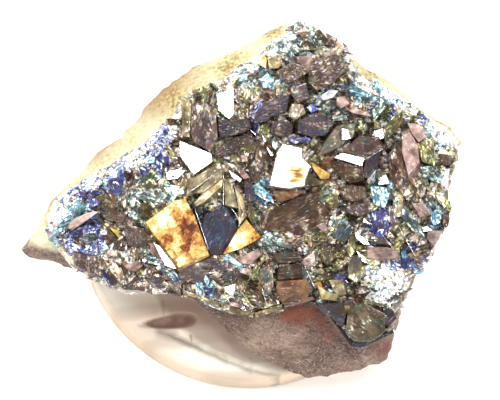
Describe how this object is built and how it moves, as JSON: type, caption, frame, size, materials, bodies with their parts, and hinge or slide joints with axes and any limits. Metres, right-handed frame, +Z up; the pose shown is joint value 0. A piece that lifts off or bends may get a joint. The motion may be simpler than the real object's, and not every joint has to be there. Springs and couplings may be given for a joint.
{
  "type": "lazulite crystal specimen",
  "caption": "Glassy lazulite crystals grown through each other over a chunk of tan and brown host rock, seated on a flat round cork pad.",
  "frame": {"origin": "centre of the pad's flat underside", "axes": "+Z up, +X to the right along the crystal face, +Y to the back, where the crystal face is highest"},
  "size_m": [0.0274, 0.0222, 0.0148],
  "materials": {
    "lazulite": "glassy, smoky brown to deep blue, with amber crystals",
    "matrix": "matt, fine-grained, tan to brown",
    "cork": "matt natural cork"
  },
  "bodies": {
    "root": {"crystal_crust": "lazulite", "host_rock": "matrix", "cork_pad": "cork"}
  },
  "joints": []
}
